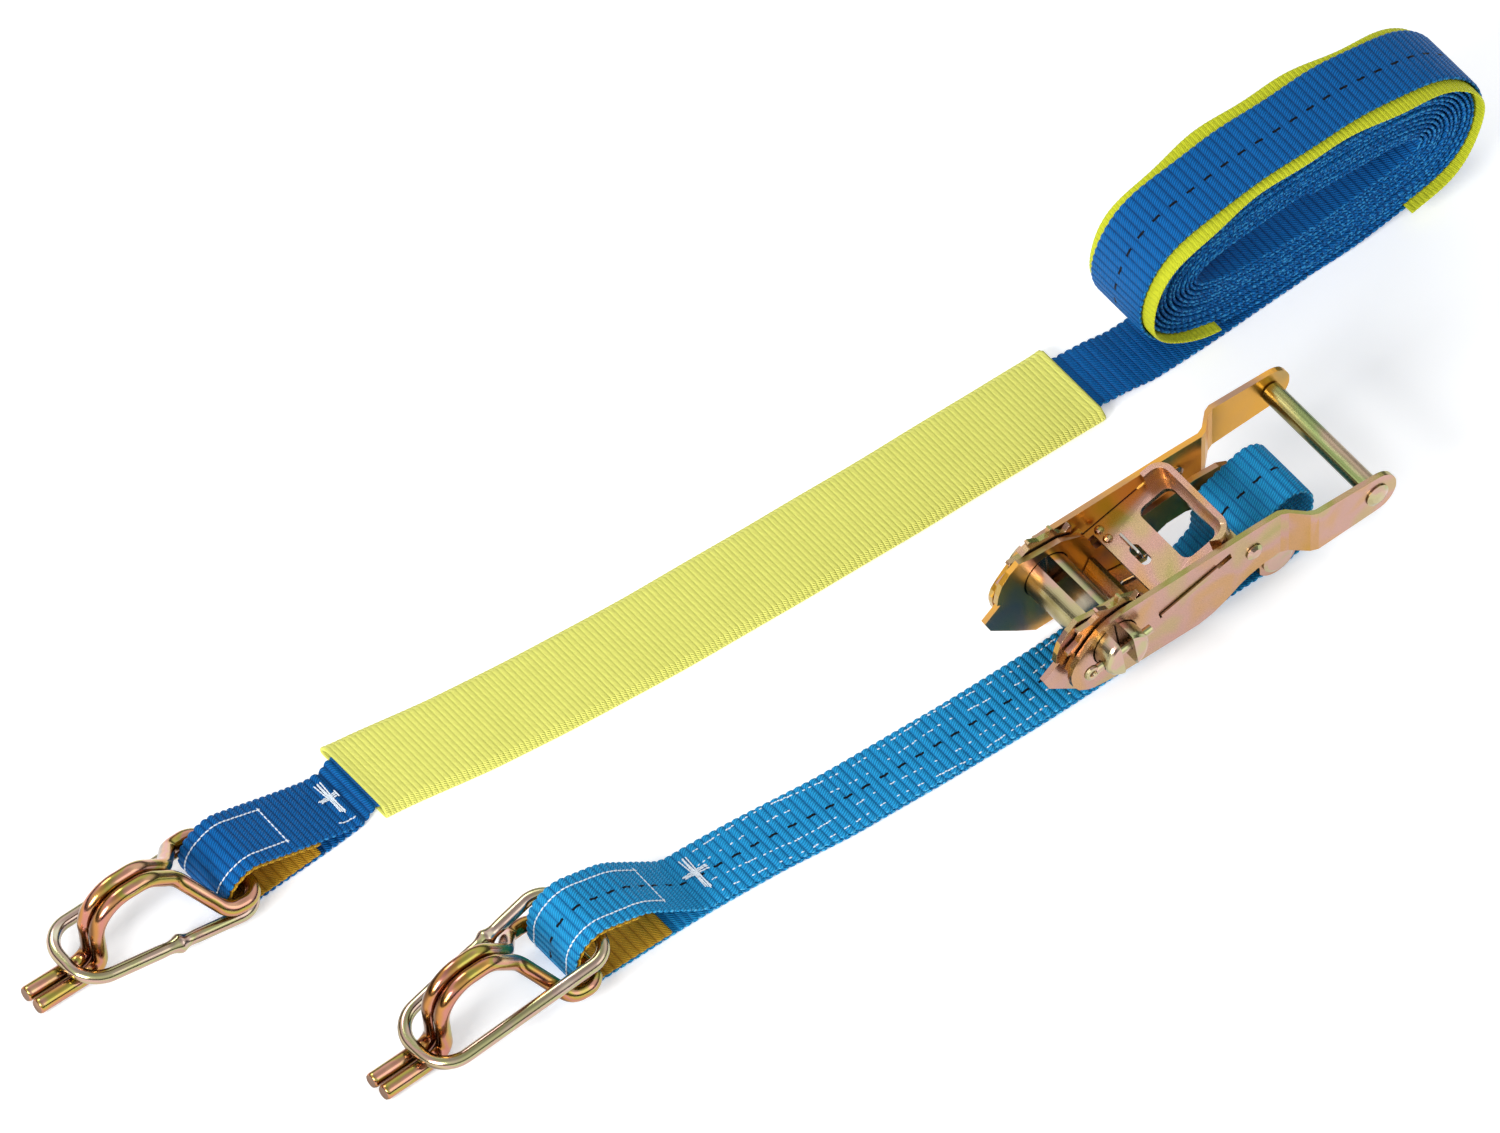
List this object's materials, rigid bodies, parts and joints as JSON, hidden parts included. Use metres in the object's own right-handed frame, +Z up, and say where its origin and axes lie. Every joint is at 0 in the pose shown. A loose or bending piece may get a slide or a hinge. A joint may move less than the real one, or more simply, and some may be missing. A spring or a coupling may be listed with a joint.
{
  "type": "ratchet lashing strap",
  "caption": "Ratchet lashing strap in two halves: hooked long strap with sleeve and rolled free end, and hooked doubled strap sewn round the bolt of a ratchet tensioner",
  "frame": {"origin": "middle of the whole layout's box, on the floor that both straps lie on", "axes": "+X runs along the straps from the hooks to the rolled end, +Y goes from the ratchet's strap to the rolled strap, +Z is up"},
  "size_m": [0.5682, 0.1476, 0.0671],
  "materials": {
    "zinc_plate": "yellow passivated zinc on pressed steel",
    "zinc_pin": "yellow passivated zinc on turned steel",
    "zinc_rod": "yellow passivated zinc on bent steel rod",
    "spring_wire": "plain spring steel wire",
    "blue_webbing": "woven polyester webbing with a black tracer",
    "light_blue_webbing": "woven polyester webbing with a black tracer",
    "golden_pad": "woven wear tape",
    "yellow_sleeve": "fluorescent ribbed woven sleeve"
  },
  "bodies": {
    "frame": {"frame_plate_left": "zinc_plate", "frame_plate_right": "zinc_plate", "frame_web": "zinc_plate", "frame_bolt": "zinc_pin", "strap_long_run": "blue_webbing", "strap_long_coil": "blue_webbing", "strap_short": "light_blue_webbing", "eye_pad_long": "golden_pad", "eye_pad_short": "golden_pad", "coil_wear_pad": "yellow_sleeve"},
    "handle": {"handle_arm_left": "zinc_plate", "handle_arm_right": "zinc_plate", "grip_tube": "zinc_plate", "grip_rivet": "zinc_pin", "stop_stud_left": "zinc_pin", "stop_stud_right": "zinc_pin"},
    "spool": {"ratchet_wheel_left": "zinc_plate", "ratchet_wheel_right": "zinc_plate", "spool_half_front": "zinc_pin", "spool_half_rear": "zinc_pin", "split_pin": "zinc_pin"},
    "handle_pawl": {"handle_pawl": "zinc_plate", "handle_pawl_spring": "spring_wire"},
    "frame_pawl": {"frame_pawl": "zinc_plate", "frame_pawl_spring": "spring_wire"},
    "hook_long": {"hook_long": "zinc_rod"},
    "keeper_long": {"keeper_long": "zinc_rod"},
    "hook_short": {"hook_short": "zinc_rod"},
    "keeper_short": {"keeper_short": "zinc_rod"},
    "sleeve": {"sleeve": "yellow_sleeve"}
  },
  "joints": [
    {"name": "handle_swing", "type": "hinge", "parent": "frame", "child": "handle", "pos_m": [0.05883, -0.04443, 0.02895], "axis": [0, -1, 0], "range_deg": [0, 180]},
    {"name": "spool_turn", "type": "hinge", "parent": "frame", "child": "spool", "pos_m": [0.05883, -0.04443, 0.02895], "axis": [0, -1, 0], "continuous": true},
    {"name": "handle_pawl_slide", "type": "slide", "parent": "handle", "child": "handle_pawl", "axis": [0.9636, 0, 0.2672], "range_m": [0, 0.0055], "stiffness_N_per_m": 1200, "springref_m": -0.003},
    {"name": "frame_pawl_slide", "type": "slide", "parent": "frame", "child": "frame_pawl", "axis": [0.9877, 0, -0.1564], "range_m": [0, 0.004], "stiffness_N_per_m": 1200, "springref_m": -0.003},
    {"name": "hook_long_swing", "type": "hinge", "parent": "frame", "child": "hook_long", "pos_m": [-0.20507, 0.05077, 0.01045], "axis": [0, 1, 0], "range_deg": [0, 30]},
    {"name": "keeper_long_swing", "type": "hinge", "parent": "hook_long", "child": "keeper_long", "pos_m": [-0.20387, 0.05077, 0.0052], "axis": [0.0436, 0.999, 0], "range_deg": [0, 3]},
    {"name": "hook_short_swing", "type": "hinge", "parent": "frame", "child": "hook_short", "pos_m": [-0.14127, -0.04093, 0.0078], "axis": [-0.0349, 0.9994, 0], "range_deg": [0, 18]},
    {"name": "keeper_short_swing", "type": "hinge", "parent": "hook_short", "child": "keeper_short", "pos_m": [-0.13727, -0.04093, 0.0204], "axis": [-0.0314, 0.9995, 0], "range_deg": [0, 60]},
    {"name": "sleeve_slide", "type": "slide", "parent": "frame", "child": "sleeve", "axis": [1, 0, 0], "range_m": [0, 0.012]}
  ]
}
